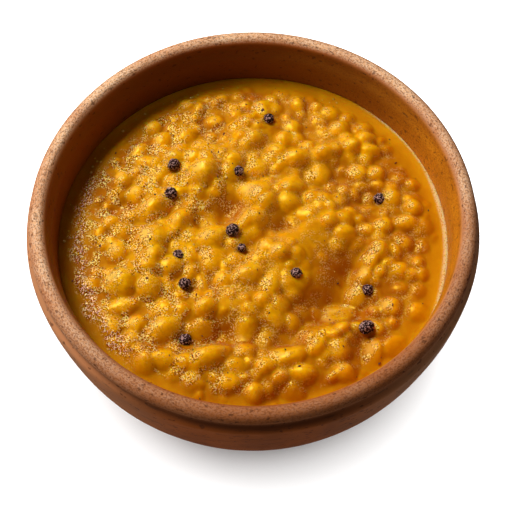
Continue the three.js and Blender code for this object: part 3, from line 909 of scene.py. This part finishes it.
def make_spice(toppings):
    """Ground spice: tiny flakes scattered over the dal."""
    draw = random_stream(toppings.random_seed + 1)
    bm = bmesh.new()
    spots = [
        (math.sqrt(next(draw)) * (SURFACE_RADIUS - 2.0), next(draw) * 2 * math.pi)
        for _ in range(toppings.spice_count)
    ]
    for x, y, z in spots_on_dal(spots):
        size = lerp(*SPICE_RADIUS, next(draw) ** 2.5)
        scale = (size * lerp(1.0, 1.8, next(draw)), size, size * 0.5)
        add_grain(bm, 1, (x, y, z + size * 0.1), scale, random_turn(draw), 0.2, 2.0)
    return finish_piece("spice_flecks", bm, spice_material(toppings))


def make_bubbles(toppings):
    """Small bubbles and beads of oil, two in three of them along the far edge."""
    draw = random_stream(toppings.random_seed + 2)
    bm = bmesh.new()
    spots = []
    for index in range(toppings.bubble_count):
        if index % 3 > 0:
            angle = math.radians(lerp(*BUBBLY_EDGE, next(draw)))
            from_wall = lerp(0.8, 3.5, next(draw))
        else:
            angle = next(draw) * 2 * math.pi
            from_wall = lerp(6.0, 40.0, next(draw))
        spots.append((SURFACE_RADIUS - from_wall, angle))
    for x, y, z in spots_on_dal(spots):
        size = lerp(*BUBBLE_RADIUS, next(draw) ** 2)
        add_grain(bm, 2, (x, y, z - size * 0.2), (size, size, size * 0.8), Matrix.Identity(4), 0.0, 1.0)
    return finish_piece("gravy_bubbles", bm, bubble_material(toppings))


# ---------------------------------------------------------------- stage


def look_at(obj, place, target):
    """Puts a light or camera at a place, facing a target, both in metres."""
    obj.location = place
    obj.rotation_euler = (Vector(target) - Vector(place)).to_track_quat("-Z", "Y").to_euler()


def add_area_light(name, direction, size, power, lit):
    """A square soft light that lights only some objects; its direction is an azimuth and elevation."""
    light = bpy.data.lights.new(name, "AREA")
    light.size, light.energy = size, power
    lamp = bpy.data.objects.new(name, light)
    bpy.context.scene.collection.objects.link(lamp)
    azimuth, elevation = (math.radians(angle) for angle in direction)
    away = Vector((
        math.cos(azimuth) * math.cos(elevation), math.sin(azimuth) * math.cos(elevation),
        math.sin(elevation),
    ))
    look_at(lamp, Vector(LIT_POINT) + away * LIGHT_DISTANCE, LIT_POINT)
    receivers = bpy.data.collections.new("lit by " + name)
    for obj in lit:
        receivers.objects.link(obj)
    lamp.light_linking.receiver_collection = receivers


def make_floor(stage):
    """The floor, just under the bowl."""
    bm = bmesh.new()
    bmesh.ops.create_grid(bm, x_segments=1, y_segments=1, size=stage.floor_size / 2)
    bmesh.ops.translate(bm, vec=(0, 0, -FLOOR_DROP), verts=bm.verts)
    mesh = bpy.data.meshes.new("studio_floor")
    bm.to_mesh(mesh)
    bm.free()
    mesh.materials.append(floor_material(stage))
    floor = bpy.data.objects.new("studio_floor", mesh)
    bpy.context.scene.collection.objects.link(floor)
    floor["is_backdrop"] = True
    return floor


def make_backdrop(stage):
    """A world that is white to the camera and lights the object weakly from all round."""
    world = bpy.data.worlds.new("studio_world")
    world.use_nodes = True
    tree = world.node_tree
    sky = tree.nodes["Background"]
    sky.inputs["Color"].default_value = (1.0, 1.0, 1.0, 1.0)
    by_camera = add_node(tree, "ShaderNodeLightPath").outputs["Is Camera Ray"]
    tree.links.new(mix_value(tree, by_camera, stage.fill_strength, 1.0), sky.inputs["Strength"])
    bpy.context.scene.world = world
    bpy.context.scene.view_settings.view_transform = "Standard"


def make_camera(stage):
    """The camera, in front of the bowl and looking down on it."""
    camera_data = bpy.data.cameras.new("camera")
    camera_data.lens = stage.camera_lens
    camera_data.clip_start, camera_data.clip_end = 0.01, 10.0
    camera = bpy.data.objects.new("camera", camera_data)
    bpy.context.scene.collection.objects.link(camera)
    elevation = stage.camera_elevation
    away = Vector((0.0, -math.cos(elevation), math.sin(elevation)))
    look_at(camera, CAMERA_AIM + away * stage.camera_distance, CAMERA_AIM)
    bpy.context.scene.camera = camera


def make_stage(stage):
    """White floor, key light from the far left, lights for the floor and the bowl's left, and camera."""
    floor = make_floor(stage)
    bowl = bpy.data.objects["terracotta_bowl"]
    key_direction = stage.key_azimuth, stage.key_elevation
    add_area_light("key_light", key_direction, stage.key_size, stage.key_power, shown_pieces())
    add_area_light("floor_light", FLOOR_LIGHT_DIRECTION, FLOOR_LIGHT_SIZE, stage.floor_power, [floor])
    add_area_light("side_light", SIDE_LIGHT_DIRECTION, SIDE_LIGHT_SIZE, stage.side_power, [bowl])
    make_backdrop(stage)
    make_camera(stage)


# ---------------------------------------------------------------- properties


def colour_property(name, description, default):
    """A colour that the user can change."""
    return FloatVectorProperty(
        name=name, description=description, default=default, subtype="COLOR", size=3, min=0.0, max=1.0
    )


class DalBowlProperties(bpy.types.PropertyGroup):
    """Colours and relief of the terracotta bowl."""

    body_colour: colour_property("Body", "Fired clay on the outside of the belly", srgb(178, 90, 30))
    # the lip's clay, also used as painted light on the belly's sides
    lip_and_side_light_colour: colour_property("Lip", "Dusty clay on the rolled lip", srgb(238, 184, 136))
    # painted shade on the lip's sides and front
    lip_shade_colour: colour_property("Shaded lip", "Where the dust is worn off the lip", srgb(148, 74, 22))
    dust_colour: colour_property("Dust", "Pale grains on the lip", srgb(250, 218, 184))
    wall_colour: colour_property("Inner wall", "Oiled clay on the inside", srgb(146, 76, 14))
    # the dal's stain, also painted light on the lit right side of the inner wall
    stain_and_light_colour: colour_property("Stain", "Where the dal has coloured the wall", srgb(204, 126, 24))
    dirt_colour: colour_property("Dark grain", "Fine dark grain in the clay", srgb(122, 66, 34))
    # pits, and also painted shade in the groove and at the back of the inner wall
    pit_and_shade_colour: colour_property("Pits", "Small dark pits in the clay", srgb(74, 36, 20))
    throwing_depth: FloatProperty(
        name="Throwing lines", description="Depth of the fine rings left by throwing",
        default=0.00008, min=0.0, max=0.001, precision=5, subtype="DISTANCE", unit="LENGTH",
    )


class DalStewProperties(bpy.types.PropertyGroup):
    """Colours of the dal."""

    lentil_colour: colour_property("Lentils", "Tops of the cooked lentils", srgb(237, 163, 0))
    # pale lentils, and also a painted highlight on the tops of large lentils
    pale_and_highlight_colour: colour_property("Pale lentils", "Lentils that kept more colour", srgb(255, 196, 8))
    # gravy, and also painted shade in the hollows, the gaps and the lentils' far sides
    gravy_and_shade_colour: colour_property("Gravy", "Gravy in the hollows between lentils", srgb(177, 90, 0))
    margin_colour: colour_property("Margin", "Thin gravy along the wall", srgb(220, 148, 4))
    # a painted highlight along the meniscus at the wall
    ring_highlight_colour: colour_property("Bright ring", "Pale glare along the wall", srgb(238, 194, 142))
    # froth and painted glints, and also the painted sheen on lentil tops
    froth_glints_colour: colour_property("Froth", "Fine pale grain on the wet skin", srgb(255, 220, 136))
    # foam-like painted glints on the thin gravy at the far left
    foam_glint_colour: colour_property("Foam", "Fine pale foam on the thin gravy", srgb(255, 214, 178))
    # pores, and also the painted shadow of the wall at the far left
    pore_and_shadow_colour: colour_property("Pores", "Fine dark grain between the pale", srgb(130, 46, 0))


class DalToppingProperties(bpy.types.PropertyGroup):
    """Colours and counts of what lies on the dal."""

    seed_colour: colour_property("Seeds", "Skin of the mustard seeds", srgb(50, 19, 17))
    speck_colour: colour_property("Seed specks", "Pale specks on the seeds' skin", srgb(200, 156, 146))
    spice_colour: colour_property("Spice", "Ground spice", srgb(104, 40, 16))
    bubble_colour: colour_property("Bubbles", "Bubbles and beads of oil", srgb(226, 172, 60))
    spice_count: IntProperty(name="Spice flecks", description="Number of flecks", default=180, min=0)
    bubble_count: IntProperty(name="Bubbles", description="Number of bubbles", default=40, min=0)
    random_seed: IntProperty(name="Random seed", description="How the toppings fall", default=47)


class DalStageProperties(bpy.types.PropertyGroup):
    """Floor, lights and camera."""

    floor_colour: colour_property("Floor", "Colour of the floor", (1.0, 1.0, 1.0))
    floor_bounce: FloatProperty(
        name="Floor bounce", description="Share of the light that the floor gives back to the object",
        default=0.14, min=0.0, max=1.0, subtype="FACTOR",
    )
    floor_size: FloatProperty(
        name="Floor size", description="Side of the square floor", default=1.2, min=0.2,
        subtype="DISTANCE", unit="LENGTH",
    )
    floor_power: FloatProperty(
        name="Floor light", description="Power of the floor's light", default=32.0, min=0.0, unit="POWER"
    )
    key_power: FloatProperty(
        name="Key light", description="Power of the main light", default=9.2, min=0.0, unit="POWER"
    )
    side_power: FloatProperty(
        name="Side light", description="Power of the left light", default=1.8, min=0.0, unit="POWER"
    )
    key_size: FloatProperty(
        name="Key size", description="Side of the main light", default=0.42, min=0.01,
        subtype="DISTANCE", unit="LENGTH",
    )
    key_azimuth: FloatProperty(
        name="Key azimuth", description="Direction of the main light in degrees", default=142.0
    )
    key_elevation: FloatProperty(
        name="Key elevation", description="Height of the main light in degrees", default=55.0
    )
    fill_strength: FloatProperty(
        name="Fill", description="Strength of the light from all round", default=0.12, min=0.0
    )
    camera_lens: FloatProperty(
        name="Lens", description="Focal length of the camera", default=80.0, min=1.0,
        subtype="DISTANCE_CAMERA", unit="CAMERA",
    )
    camera_distance: FloatProperty(
        name="Camera distance", description="From the camera to the middle of its view", default=0.2893,
        min=0.01, subtype="DISTANCE", unit="LENGTH",
    )
    camera_elevation: FloatProperty(
        name="Camera elevation", description="Angle of the camera above the horizon",
        default=math.radians(62.1), subtype="ANGLE", unit="ROTATION",
    )


# ---------------------------------------------------------------- operators and panel


class DALBOWL_OT_bowl(bpy.types.Operator):
    """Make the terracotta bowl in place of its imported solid"""

    bl_idname = "dal_bowl.make_bowl"
    bl_label = "Terracotta bowl"

    def execute(self, context):
        make_bowl(context.scene.dal_bowl_clay)
        return {"FINISHED"}


class DALBOWL_OT_dal(bpy.types.Operator):
    """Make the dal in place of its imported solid"""

    bl_idname = "dal_bowl.make_dal"
    bl_label = "Dal"

    def execute(self, context):
        make_dal(context.scene.dal_bowl_stew)
        return {"FINISHED"}


class DALBOWL_OT_toppings(bpy.types.Operator):
    """Scatter the mustard seeds, the ground spice and the bubbles"""

    bl_idname = "dal_bowl.make_toppings"
    bl_label = "Seeds, spice and bubbles"

    def execute(self, context):
        toppings = context.scene.dal_bowl_toppings
        make_seeds(toppings)
        make_spice(toppings)
        make_bubbles(toppings)
        return {"FINISHED"}


class DALBOWL_OT_stage(bpy.types.Operator):
    """Set up the floor, the lights and the camera"""

    bl_idname = "dal_bowl.make_stage"
    bl_label = "Studio stage"

    def execute(self, context):
        make_stage(context.scene.dal_bowl_stage)
        return {"FINISHED"}


class DALBOWL_PT_panel(bpy.types.Panel):
    """Lists the operators with the values that each one uses"""

    bl_idname = "DALBOWL_PT_panel"
    bl_label = "Bowl of dal"
    bl_space_type = "VIEW_3D"
    bl_region_type = "UI"
    bl_category = "Dal"

    def draw(self, context):
        for operator, group in PANEL_ROWS:
            box = self.layout.box()
            box.operator(operator)
            values = getattr(context.scene, group)
            for name in values.bl_rna.properties.keys():
                if name not in ("rna_type", "name"):
                    box.prop(values, name)


PANEL_ROWS = (
    ("dal_bowl.make_bowl", "dal_bowl_clay"),
    ("dal_bowl.make_dal", "dal_bowl_stew"),
    ("dal_bowl.make_toppings", "dal_bowl_toppings"),
    ("dal_bowl.make_stage", "dal_bowl_stage"),
)

SCENE_GROUPS = {
    "dal_bowl_clay": DalBowlProperties,
    "dal_bowl_stew": DalStewProperties,
    "dal_bowl_toppings": DalToppingProperties,
    "dal_bowl_stage": DalStageProperties,
}

CLASSES = (
    *SCENE_GROUPS.values(),
    DALBOWL_OT_bowl,
    DALBOWL_OT_dal,
    DALBOWL_OT_toppings,
    DALBOWL_OT_stage,
    DALBOWL_PT_panel,
)


def register():
    """Registers the classes and hangs the property groups on the scene."""
    for cls in CLASSES:
        bpy.utils.register_class(cls)
    for name, group in SCENE_GROUPS.items():
        setattr(bpy.types.Scene, name, PointerProperty(type=group))


def unregister():
    """Takes everything that register added away again."""
    for name in SCENE_GROUPS:
        delattr(bpy.types.Scene, name)
    for cls in reversed(CLASSES):
        bpy.utils.unregister_class(cls)


def main():
    """Makes the whole scene."""
    register()
    bpy.ops.dal_bowl.make_bowl()
    bpy.ops.dal_bowl.make_dal()
    bpy.ops.dal_bowl.make_toppings()
    bpy.ops.dal_bowl.make_stage()


if __name__ == "__main__":
    main()
